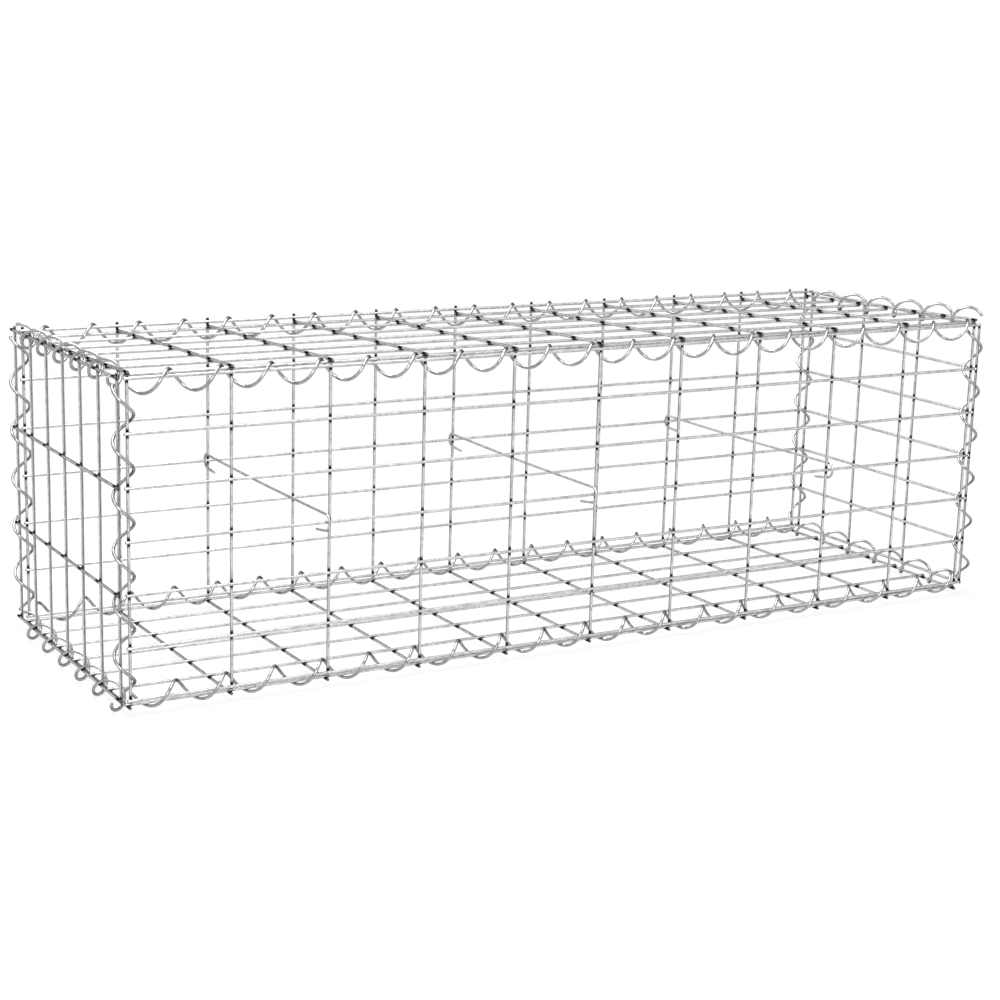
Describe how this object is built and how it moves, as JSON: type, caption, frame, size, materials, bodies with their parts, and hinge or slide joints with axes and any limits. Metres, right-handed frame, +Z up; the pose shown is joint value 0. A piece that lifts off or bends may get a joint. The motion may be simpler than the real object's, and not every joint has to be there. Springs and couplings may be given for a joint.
{
  "type": "gabion basket",
  "caption": "Empty box-shaped gabion basket of welded wire mesh, laced along every edge with spiral binders and braced with tie wires.",
  "frame": {"origin": "middle of the footprint, on the ground under the bottom spirals", "axes": "+X along the length, front towards -Y, +Z up"},
  "size_m": [1.033, 0.3291, 0.3338],
  "materials": {
    "mesh_wire": "galvanised zinc, slightly mottled",
    "spiral_wire": "galvanised zinc, bright drawn wire",
    "tie_wire": "galvanised zinc, slightly mottled"
  },
  "bodies": {
    "root": {"front_panel": "mesh_wire", "back_panel": "mesh_wire", "base_panel": "mesh_wire", "lid_panel": "mesh_wire", "left_end_panel": "mesh_wire", "right_end_panel": "mesh_wire", "spiral_front_bottom": "spiral_wire", "spiral_front_top": "spiral_wire", "spiral_back_bottom": "spiral_wire", "spiral_back_top": "spiral_wire", "spiral_left_bottom": "spiral_wire", "spiral_right_bottom": "spiral_wire", "spiral_left_top": "spiral_wire", "spiral_right_top": "spiral_wire", "spiral_front_left": "spiral_wire", "spiral_back_left": "spiral_wire", "spiral_front_right": "spiral_wire", "spiral_back_right": "spiral_wire", "tie_wire_left": "tie_wire", "tie_wire_middle": "tie_wire", "tie_wire_right": "tie_wire"}
  },
  "joints": []
}
